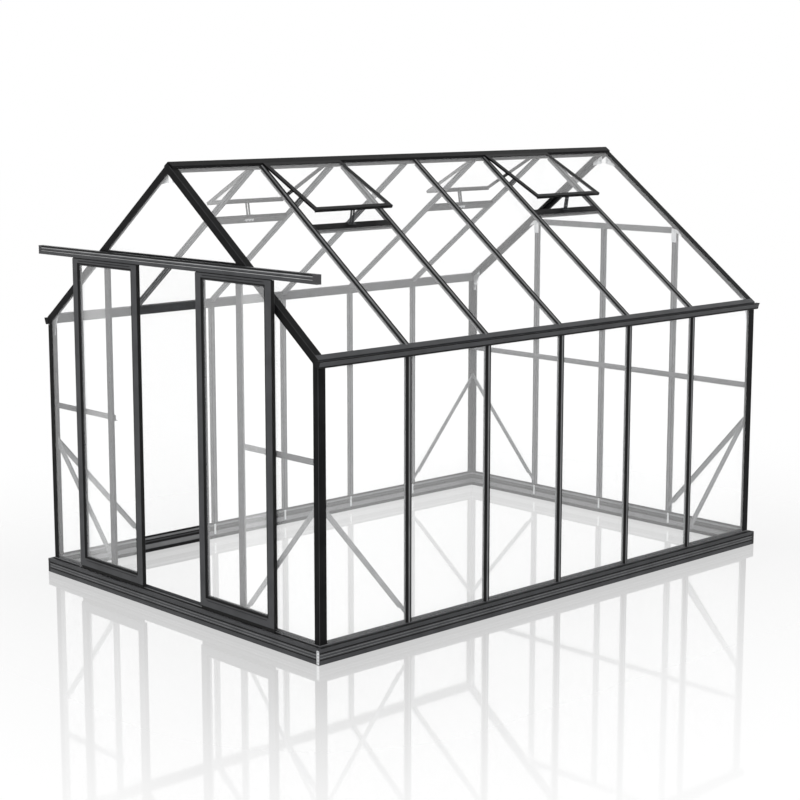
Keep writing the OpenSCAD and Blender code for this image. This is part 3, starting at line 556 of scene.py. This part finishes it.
# Dark strips on the ledge, painted shade: distances out from the wall's face, and how far they run past its
# corners.
SIDE_LEDGE_SHADE, END_LEDGE_SHADE = in_mm((14, 27.5), (6, 19))
SIDE_OVERRUN = 12 * MM
END_OVERRUN = 4 * MM
LEDGE_START = 4 * MM
LEDGE_FALL = 5 / 24
LEDGE_STRIP = 0.4 * MM


def ring_at(reach_x, reach_y, outline):
    """Mitred ring round the building: the outline is (distance outward, height)."""
    return [
        [Vector((sx * (reach_x + out), sy * (reach_y + out), z)) for out, z in outline]
        for sx, sy in ((1, -1), (1, 1), (-1, 1), (-1, -1))
    ]


def flat_band(low, high, back, front):
    """Outline of a flat strip between two heights, from back to front."""
    return ((back, low), (front, low + 0.2 * MM), (front, high - 0.2 * MM), (back, high))


def slope_band(near, far):
    """Outline of a flat strip on the base's sloping ledge, at distances out from the wall's face."""
    def ledge(out):
        """Height of the ledge at a distance out from the wall's face."""
        return LEDGE - (out - LEDGE_START) * LEDGE_FALL
    return (
        (near, ledge(near)), (near, ledge(near) + LEDGE_STRIP),
        (far, ledge(far) + LEDGE_STRIP), (far, ledge(far)),
    )


def make_base_face():
    """Cover strip on the base rail's face, with dark strips in its grooves and on the ledge as painted shade,
    and light lines on its beads as painted highlights.
    """
    bm = bmesh.new()
    loft(bm, ring_at(BASE_OUT_X, BASE_OUT_Y, BASE_STRIP), closed=True)
    finish_piece(bm, "base_face_strip", PROFILE_COAT)
    bm = bmesh.new()
    for low, high in BASE_GROOVE_SHADE:
        loft(bm, ring_at(BASE_OUT_X, BASE_OUT_Y, flat_band(low, high, 0, 0.2 * MM)), closed=True)
    side_ledge_shade = slope_band(*SIDE_LEDGE_SHADE)
    end_ledge_shade = slope_band(*END_LEDGE_SHADE)
    for side in (-1, 1):
        reach = HALF_L + SIDE_OVERRUN
        edge = Vector((side * HALF_W, 0, 0))
        run_strip(bm, side_ledge_shade, edge - ALONG * reach, edge + ALONG * reach, ACROSS * side, UPWARD)
        reach = HALF_W + END_OVERRUN
        edge = Vector((0, side * HALF_L, 0))
        run_strip(bm, end_ledge_shade, edge - ACROSS * reach, edge + ACROSS * reach, ALONG * side, UPWARD)
    finish_piece(bm, "base_groove_shade", BLACK_RUBBER_AND_SHADE)
    bm = bmesh.new()
    for low, high in BASE_BEAD_HIGHLIGHTS:
        loft(bm, ring_at(BASE_OUT_X, BASE_OUT_Y, flat_band(low, high, 1 * MM, 1.4 * MM)), closed=True)
    finish_piece(bm, "base_bead_highlights", BRACE_AND_HIGHLIGHT_COAT)


# Bands and ribs on the base rail's inner face, which leave its light edges showing between them.
BASE_INNER = 10 * MM
INNER_BANDS = in_mm((4, 20), (56, 68), (77, 83), (100, 111))
INNER_RIBS = in_mm((24, 53), (86, 98))
# Bead that seats the panes on the ledge: (distance outward, height over the ledge).
SILL_BEAD = in_mm((-2.5, 0), (-2.5, 3), (-1.5, 3.5), (2, 1.6), (3.6, 0.4), (3.6, 0))


def inner_band(low, high):
    """Outline of a flat dark band."""
    return (
        (0, low), (-0.6 * MM, low + 0.6 * MM), (-0.6 * MM, high - 0.6 * MM), (0, high),
    )


def inner_rib(low, high):
    """Outline of a rounded rib."""
    return (
        (0, low), (-0.5 * MM, low + 2 * MM), (-0.9 * MM, (low + high) / 2),
        (-0.5 * MM, high - 2 * MM), (0, high),
    )


def make_base_trim():
    """Bands and ribs on the base rail's inner face, and the bead under the panes."""
    for shape, edges, name, look, slot in (
        (inner_band, INNER_BANDS, "base_inner_bands", BLACK_RUBBER_AND_SHADE, "cap_plastic"),
        (inner_rib, INNER_RIBS, "base_inner_ribs", BRACE_AND_HIGHLIGHT_COAT, "profile"),
    ):
        bm = bmesh.new()
        for low, high in edges:
            rings = ring_at(HALF_W - BASE_INNER, HALF_L - BASE_INNER, shape(low, high))
            loft(bm, rings, closed=True)
        finish_piece(bm, name, look)
    bm = bmesh.new()
    bead = [(out, LEDGE + up) for out, up in SILL_BEAD]
    loft(bm, ring_at(HALF_W, HALF_L, bead), closed=True)
    finish_piece(bm, "sill_bead", BAR_COAT_PAINTED_SHEEN)


# ---------- sliding doors ----------

STILE = 62 * MM
LEAF_STEP = 14 * MM
TOP_RAIL = 38.5 * MM
# Bead round the pane: (distance inward from the step, height over the leaf's face).
PANE_BEAD = in_mm((0.1, -9), (9.1, -9), (8.3, -6), (4.1, -2.6), (0.1, -2.2))
# Brush under the leaf and cover on top of it: (depth from the leaf's face, height).
BRUSH = in_mm((6, 0), (8, -22.5), (9, -23), (10, -22.5), (12, 0))
TOP_COVER = in_mm((4, 0), (5, 4.4), (11, 4.4), (12, 0))
# Fill of the grooves in the top and bottom rails: (distance up, height over the leaf's face).
RAIL_FILL = in_mm((0.2, -1.9), (0.2, -1.0), (3.8, -1.0), (3.8, -1.9))
FILL_BELOW = 14 * MM
FILL_ABOVE = 10 * MM
# Dark strip beside the right-hand stile, painted shade where the step meets the stile: (distance from the
# stile, height over the leaf's face).
STILE_SHADE_STRIP = in_mm((0.1, -9), (0.1, -0.6), (0.8, -0.1), (7, -0.1), (7.4, -9))
SIDE_SEAL = 1.1 * MM
SEAL_INSET = 1 * MM
BRUSH_INSET = 3 * MM


def side_seal(depth):
    """Outline of the double seal on a leaf's side: (depth from the leaf's face, height)."""
    middle = depth / 2
    return (
        (2 * MM, 0), (3 * MM, 0.5 * SIDE_SEAL), (6 * MM, SIDE_SEAL), (middle - 2 * MM, 0.6 * SIDE_SEAL),
        (middle, 0.2 * SIDE_SEAL), (middle + 2 * MM, 0.6 * SIDE_SEAL),
        (depth - 6 * MM, SIDE_SEAL), (depth - 3 * MM, 0.5 * SIDE_SEAL), (depth - 2 * MM, 0),
    )


def make_leaf_trim(node, body, name):
    """Rubber of a door leaf: bead, side seals, brush, top cover, groove fills, and a dark strip beside the
    stile that is painted shade.
    """
    low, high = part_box(node)
    out = -ALONG
    inner_low = (low.x + STILE - LEAF_STEP, low.z + STILE - LEAF_STEP)
    inner_high = (high.x - STILE + LEAF_STEP, high.z - TOP_RAIL + LEAF_STEP)

    def at_face(x, z):
        """Point in the plane of the leaf's face."""
        return Vector((x, low.y, z))

    bm = bmesh.new()
    run_frame(bm, PANE_BEAD, inner_low, inner_high, ACROSS, UPWARD, out)
    bmesh.ops.translate(bm, verts=bm.verts, vec=at_face(0, 0))
    seal = side_seal(high.y - low.y)
    for x, hand in ((low.x, -1), (high.x, 1)):
        foot, head = at_face(x, low.z + SEAL_INSET), at_face(x, high.z - SEAL_INSET)
        run_strip(bm, seal, foot, head, ALONG, ACROSS * hand)
    for outline, inset, z in ((BRUSH, BRUSH_INSET, low.z), (TOP_COVER, SEAL_INSET, high.z)):
        run_strip(bm, outline, at_face(low.x + inset, z), at_face(high.x - inset, z), ALONG, UPWARD)
    for z in (inner_low[1] - FILL_BELOW, inner_high[1] + FILL_ABOVE):
        run_strip(bm, RAIL_FILL, at_face(low.x + STILE, z), at_face(high.x - STILE, z), UPWARD, out)
    # The dark strip at the step beside the stile is painted shade.
    stile = inner_high[0]
    run_strip(bm, STILE_SHADE_STRIP, at_face(stile, inner_low[1]), at_face(stile, inner_high[1]), -ACROSS, out)
    finish_piece(bm, name, BLACK_RUBBER_AND_SHADE, body)


# ---------- track ----------

TRACK_SET_BACK = 2.2 * MM
# Strips on the track's front, the dark ones painted shade and the light ones painted highlights: (lower edge,
# upper edge, how far they stand out of the groove).
TRACK_SHADE_BANDS = in_mm((23.6, 26.2, 1.4), (44.0, 51.8, 1.2))
TRACK_HIGHLIGHTS = in_mm((19.4, 23.0, 2.2), (36.2, 40.6, 2.25))


def make_track_lines():
    """Dark strips of painted shade in the track's front groove and light strips of painted highlight along
    its upper step.
    """
    low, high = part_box("door_track")
    start = Vector((low.x, low.y + TRACK_SET_BACK, low.z))
    end = Vector((high.x, low.y + TRACK_SET_BACK, low.z))
    for strips, name, look, slot in (
        (TRACK_SHADE_BANDS, "track_shade_bands", BLACK_RUBBER_AND_SHADE, "cap_plastic"),
        (TRACK_HIGHLIGHTS, "track_highlight_lines", TRACK_HIGHLIGHT_COAT, "profile"),
    ):
        bm = bmesh.new()
        for bottom, top, proud in strips:
            run_strip(bm, flat_strip(bottom, top, proud), start, end, UPWARD, -ALONG)
        finish_piece(bm, name, look)


# ---------- eaves and corners ----------

GUTTER_HEIGHT = 36 * MM
GUTTER_REACH = 28 * MM
GUTTER_OUT = HALF_W + GUTTER_REACH
GUTTER_LIP = GUTTER_BOTTOM + GUTTER_HEIGHT
# Dark line on the gutter's lip, painted shade under the roof's edge, from the lip's top outer corner:
# (distance outward, height).
LIP_SHADE = in_mm((-0.1, -5), (0.5, -4.6), (0.5, 0), (-0.1, 0))
# Drip edge in black, which darkens the gutter's lower corner as painted shade, from the gutter's lower outer
# corner: (distance outward, height).
DRIP_EDGE = in_mm(
    (-23, -3.6), (-14, -3.6), (-10.6, 1.6), (-8.6, 6), (-9.6, 6.2), (-13, 0.4), (-23, -0.1),
)
BOWL_PLATE = 1 * MM
BEAM_PLATE = 1.2 * MM


def moved(outline, out, up):
    """The outline moved outward and up."""
    return [(out + u, up + v) for u, v in outline]


def make_gutter_lines():
    """Dark lines of painted shade on the gutter's lip and along its lower corner, where a drip edge stands
    out.
    """
    low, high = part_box("gutter_right")
    bands = (moved(LIP_SHADE, GUTTER_OUT, GUTTER_LIP), moved(DRIP_EDGE, GUTTER_OUT, GUTTER_BOTTOM))
    bm = bmesh.new()
    for side in (-1, 1):
        for outline in bands:
            run_strip(bm, outline, Vector((0, low.y, 0)), Vector((0, high.y, 0)), ACROSS * side, UPWARD)
    finish_piece(bm, "gutter_shade_lines", BLACK_RUBBER_AND_SHADE)


def make_eave_ends():
    """Moulded plates that close the ends of the eave beams and gutters."""
    low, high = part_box("gutter_right")
    margin = 0.5 * MM
    floor = GUTTER_BOTTOM + margin
    inside, outside = GUTTER_INNER + margin, HALF_W - margin
    beam_top = EAVE_HEIGHT - 1 * MM
    beam = (
        (inside, floor), (outside, floor), (outside, beam_top - 1 * MM),
        (inside, beam_top + 21 * MM * math.tan(ROOF_PITCH)),
    )
    out, lip = GUTTER_OUT, GUTTER_LIP
    bowl = (
        (HALF_W + margin, floor), (out - 16 * MM, floor), (out - 10.5 * MM, GUTTER_BOTTOM + 5 * MM),
        (out - 3 * MM, lip - 7 * MM), (out - margin, lip - 4 * MM), (out - margin, lip - margin),
        (HALF_W + margin, lip - margin),
    )
    bm = bmesh.new()
    for side in (-1, 1):
        for y, hand in ((low.y, -1), (high.y, 1)):
            start = Vector((0, y, 0))
            run_strip(bm, bowl, start, start + ALONG * (hand * BOWL_PLATE), ACROSS * side, UPWARD)
        for hand in (-1, 1):
            start = Vector((0, hand * HALF_L, 0))
            run_strip(bm, beam, start, start + ALONG * (hand * BEAM_PLATE), ACROSS * side, UPWARD)
    finish_piece(bm, "eave_end_plates", BLACK_RUBBER_AND_SHADE)


EDGE_RADIUS = 1.1 * MM
EDGE_INSET = 1.4 * MM
RIDGE_END = 20 * MM


def make_edge_lines():
    """Thin rods of the lighter anthracite coat down the corner posts and the gable rafters: painted
    highlights on their edges.
    """
    post_top = GUTTER_BOTTOM - 1 * MM
    turns = [k * math.pi / 4 for k in range(8)]
    edge = [(EDGE_RADIUS * math.cos(turn), EDGE_RADIUS * math.sin(turn)) for turn in turns]
    bm = bmesh.new()
    for sx in (-1, 1):
        for sy in (-1, 1):
            x, y = sx * (HALF_W - EDGE_INSET), sy * (HALF_L - EDGE_INSET)
            run_strip(bm, edge, Vector((x, y, LEDGE)), Vector((x, y, post_top)), ACROSS, ALONG)
            start = roof_point(sx, RIDGE_END, y, -EDGE_INSET)
            end = roof_point(sx, GUTTER_INNER, y, -EDGE_INSET)
            run_strip(bm, edge, start, end, ALONG, roof_normal(sx))
    finish_piece(bm, "edge_highlight_rods", PROFILE_COAT)


# ---------- fasteners ----------

PLATE = 2 * MM
BRACKET_BOLT = 22 * MM
CILL_BOLT_LINE = 26 * MM
CLAMP_HALF = 34 * MM
CLAMP_NUT = 24 * MM
CLAMP_NUT_SIZE = 11 * MM
# Clamp plate on a cill's inner face: (distance up the slope, height).
CLAMP_PLATE = in_mm((-8, 0), (-8, 1.6), (-6.5, 2), (6.5, 2), (8, 1.6), (8, 0))
# X of the screws in the front ledge, in metres.
LEDGE_SCREWS = (-0.97, -0.84, -0.36, 0.36, 0.84, 0.97)
# Their distance out from the wall's face, and how deep they sit below the ledge's highest line.
SCREW_OUT = 9 * MM
SCREW_SEAT = 1.3 * MM


def make_bracket_bolts():
    """Two bolts through each foot bracket."""
    low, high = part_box("foot_brackets")
    middle = (low.z + high.z) / 2
    heights = (-BRACKET_BOLT, BRACKET_BOLT)
    bm = bmesh.new()
    for y in bar_lines():
        for side in (-1, 1):
            face = Vector((side * (high.x - PLATE), y, middle))
            for dz in heights:
                hex_nut(bm, face + UPWARD * dz, ACROSS * -side)
    for k in (-1, 0, 1):
        for dz in heights:
            hex_nut(bm, Vector((k * BAY, high.y - PLATE, middle + dz)), -ALONG)
    for k in (-1, 1):
        for dz in heights:
            hex_nut(bm, Vector((k * BAY, low.y + PLATE, middle + dz)), ALONG)
    finish_piece(bm, "bracket_bolts", BRIGHT)


def make_gusset_bolts():
    """Bolts through the joint plates at the eaves, the ridge and the cross beams."""
    low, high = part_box("gussets")
    collar_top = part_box("back_collar")[1].z
    spots = (
        (GUTTER_INNER - 12 * MM, GUTTER_BOTTOM - 55 * MM),
        (GUTTER_INNER - 12 * MM, GUTTER_BOTTOM - 20 * MM),
        (GUTTER_INNER - 45 * MM, GUTTER_BOTTOM + 57 * MM),
        (32 * MM, RIDGE_Z - 88 * MM),
        (70 * MM, RIDGE_Z - 101 * MM),
        (BAY, collar_top - 90 * MM),
        (BAY, collar_top - 27 * MM),
        (BAY + 42 * MM, collar_top - 36 * MM),
    )
    bm = bmesh.new()
    for hand in (-1, 1):
        for x, z in spots:
            hex_nut(bm, Vector((hand * x, low.y + PLATE, z)), ALONG)
            hex_nut(bm, Vector((hand * x, high.y - PLATE, z)), -ALONG)
    finish_piece(bm, "gusset_bolts", BRIGHT)


def make_stay_fittings():
    """A clamp plate with three nuts on each cill's inner face."""
    bolt_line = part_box("vent_cills")[1].x - CILL_BOLT_LINE
    bm = bmesh.new()
    for side in (-1, 1):
        up_slope = Vector((-side * math.cos(ROOF_PITCH), 0, math.sin(ROOF_PITCH)))
        inward = -roof_normal(side)
        for y in (-1.5 * BAY, 1.5 * BAY):
            face = roof_point(side, bolt_line, y, -BAR_DEPTH)
            run_strip(bm, CLAMP_PLATE, face - ALONG * CLAMP_HALF, face + ALONG * CLAMP_HALF, up_slope, inward)
            for dy in (-CLAMP_NUT, 0, CLAMP_NUT):
                hex_nut(bm, face + ALONG * dy + inward * PLATE, inward, CLAMP_NUT_SIZE)
    finish_piece(bm, "stay_fittings", BRIGHT)


def make_ledge_screws():
    """Domed screws in the front ledge, on both sides of the doorway."""
    bm = bmesh.new()
    ledge = Vector((0, -HALF_L - SCREW_OUT, LEDGE - SCREW_SEAT))
    for x in LEDGE_SCREWS:
        pan_head(bm, ledge + ACROSS * x, UPWARD)
    # The screw heads take the bars' lighter coat as a painted glint.
    finish_piece(bm, "ledge_screws", BAR_COAT_PAINTED_SHEEN)


# ---------- braces ----------

BRACE_TOP = 880 * MM
BRACE_FOOT = 150 * MM
BRACE_LEG = 24 * MM
BRACE_WALL = 2.5 * MM
BRACE_START = 18 * MM
BRACE_REACH = 660.5 * MM
BRACE_CLEAR = 46 * MM
FLANGE = 8 * MM
FLANGE_INSET = 0.2 * MM


def make_brace_flanges():
    """The lower edge of each brace's flat leg, between the corner post and the next bar."""
    drop = Vector((BRACE_REACH - BRACE_START, BRACE_FOOT - BRACE_TOP)).normalized()
    back, front = FLANGE_INSET, BRACE_WALL - FLANGE_INSET
    outline = ((FLANGE_INSET, back), (FLANGE_INSET, front), (FLANGE, front), (FLANGE, back))
    bm = bmesh.new()
    for sx in (-1, 1):
        for sy in (-1, 1):
            corner = Vector((sx * HALF_W, sy * HALF_L, 0))
            for along, inward in ((ALONG * -sy, ACROSS * -sx), (ACROSS * -sx, ALONG * -sy)):
                down = along * drop.x + UPWARD * drop.y
                across = along * drop.y - UPWARD * drop.x
                head = corner + along * BRACE_START + UPWARD * BRACE_TOP
                head = head + inward * BAR_DEPTH + across * BRACE_LEG
                start = head + down * (BRACE_CLEAR / drop.x)
                end = head + down * ((BRACE_REACH - BRACE_START - BRACE_CLEAR) / drop.x)
                run_strip(bm, outline, start, end, across, inward)
    finish_piece(bm, "brace_flanges", BRACE_AND_HIGHLIGHT_COAT)


# ---------- studio ----------

FLOOR_HALF = 60.0
FLOOR_WHITE = 0.99
FLOOR_SHADE = 0.07
FLOOR_POLISH = 0.56
FLOOR_ROUGHNESS = 0.03
FLOOR_DROP = 0.3 * MM
POLISH_REACH = 4.0
# The fade runs from this share of its reach, so that it has already begun at the walls.
FADE_START = -0.6
# Name, place, aim, size in metres and power in watts.
LAMPS = (
    ("key", (3.0, -8.0, 5.0), (0, 0, 1.2), (5.0, 4.0), 180.0),
    ("fill", (8.0, -5.0, 4.0), (0, 0, 1.0), (4.0, 4.0), 180.0),
)


def rays_that_see(tree):
    """1 for the rays that look at the background: the camera's, reflections and what passes through."""
    path = tree.nodes.new("ShaderNodeLightPath")
    total = path.outputs["Is Camera Ray"]
    for kind in ("Is Glossy Ray", "Is Transmission Ray"):
        total = math_node(tree, "MAXIMUM", total, path.outputs[kind])
    return total


def make_world():
    """An even white world."""
    world = bpy.data.worlds.new("studio")
    scene.world = world
    world.use_nodes = True
    background = world.node_tree.nodes["Background"]
    background.inputs["Color"].default_value = (1, 1, 1, 1)
    background.inputs["Strength"].default_value = 1.0


def near_building(tree, reach):
    """An even share under the building, which falls to 0 at reach metres from its walls."""
    low, high = cad_box
    centre = (low + high) / 2
    half = (high - low) / 2
    place = tree.nodes.new("ShaderNodeNewGeometry")
    offset = tree.nodes.new("ShaderNodeVectorMath")
    offset.operation = "SUBTRACT"
    offset.inputs[1].default_value = (centre.x, centre.y, 0)
    size = tree.nodes.new("ShaderNodeVectorMath")
    size.operation = "ABSOLUTE"
    outside = tree.nodes.new("ShaderNodeVectorMath")
    outside.operation = "SUBTRACT"
    outside.inputs[1].default_value = (half.x, half.y, 0)
    clamped = tree.nodes.new("ShaderNodeVectorMath")
    clamped.operation = "MAXIMUM"
    clamped.inputs[1].default_value = (0, 0, 0)
    length = tree.nodes.new("ShaderNodeVectorMath")
    length.operation = "LENGTH"
    fade = tree.nodes.new("ShaderNodeMapRange")
    fade.interpolation_type = "SMOOTHERSTEP"
    fade.inputs["From Min"].default_value = FADE_START * reach
    fade.inputs["From Max"].default_value = reach
    fade.inputs["To Min"].default_value = 1.0
    fade.inputs["To Max"].default_value = 0.0
    tree.links.new(place.outputs["Position"], offset.inputs[0])
    tree.links.new(offset.outputs["Vector"], size.inputs[0])
    tree.links.new(size.outputs["Vector"], outside.inputs[0])
    tree.links.new(outside.outputs["Vector"], clamped.inputs[0])
    tree.links.new(clamped.outputs["Vector"], length.inputs[0])
    tree.links.new(length.outputs["Value"], fade.inputs["Value"])
    return fade.outputs["Result"]


def make_floor():
    """White floor that mirrors the house, less so further away, and keeps its shadow."""
    bm = bmesh.new()
    bmesh.ops.create_grid(bm, x_segments=1, y_segments=1, size=FLOOR_HALF)
    mesh = bpy.data.meshes.new("floor")
    bm.to_mesh(mesh)
    bm.free()
    floor = bpy.data.objects.new("floor", mesh)
    floor.location.z = -FLOOR_DROP
    scene.collection.objects.link(floor)
    material = bpy.data.materials.new("glossy_white_floor")
    material.use_nodes = True
    tree = material.node_tree
    tree.nodes.clear()
    matt = tree.nodes.new("ShaderNodeBsdfDiffuse")
    matt.inputs["Color"].default_value = (FLOOR_WHITE, FLOOR_WHITE, FLOOR_WHITE, 1)
    white = tree.nodes.new("ShaderNodeEmission")
    lit = tree.nodes.new("ShaderNodeMixShader")
    lit.inputs["Fac"].default_value = 1 - FLOOR_SHADE
    mirror = tree.nodes.new("ShaderNodeBsdfGlossy")
    mirror.inputs["Roughness"].default_value = FLOOR_ROUGHNESS
    polish = math_node(tree, "MULTIPLY", near_building(tree, POLISH_REACH), FLOOR_POLISH)
    polished = tree.nodes.new("ShaderNodeMixShader")
    seen = tree.nodes.new("ShaderNodeMixShader")
    out = tree.nodes.new("ShaderNodeOutputMaterial")
    tree.links.new(matt.outputs["BSDF"], lit.inputs[1])
    tree.links.new(white.outputs["Emission"], lit.inputs[2])
    tree.links.new(polish, polished.inputs["Fac"])
    tree.links.new(lit.outputs["Shader"], polished.inputs[1])
    tree.links.new(mirror.outputs["BSDF"], polished.inputs[2])
    tree.links.new(rays_that_see(tree), seen.inputs["Fac"])
    tree.links.new(matt.outputs["BSDF"], seen.inputs[1])
    tree.links.new(polished.outputs["Shader"], seen.inputs[2])
    tree.links.new(seen.outputs["Shader"], out.inputs["Surface"])
    mesh.materials.append(material)


def area_lamp(name, place, aim, size, power):
    """A rectangular lamp turned to the point that it aims at."""
    data = bpy.data.lights.new(name, "AREA")
    data.shape = "RECTANGLE"
    data.size, data.size_y = size
    data.energy = power
    lamp = bpy.data.objects.new(name, data)
    lamp.location = place
    lamp.rotation_euler = (Vector(aim) - Vector(place)).to_track_quat("-Z", "Y").to_euler()
    scene.collection.objects.link(lamp)


def make_lamps():
    """Two soft lamps on the front right."""
    for lamp in LAMPS:
        area_lamp(*lamp)


scene.view_settings.view_transform = "Standard"
make_camera()
make_world()
make_floor()
make_lamps()
dress_nodes()
make_bar_gaskets()
make_bar_covers()
make_bar_lines()
make_base_face()
make_base_trim()
make_leaf_trim("door_frame_left", "door_left", "leaf_trim_left")
make_leaf_trim("door_frame_right", "door_right", "leaf_trim_right")
make_track_lines()
make_gutter_lines()
make_eave_ends()
make_edge_lines()
make_bracket_bolts()
make_gusset_bolts()
make_stay_fittings()
make_ledge_screws()
make_brace_flanges()
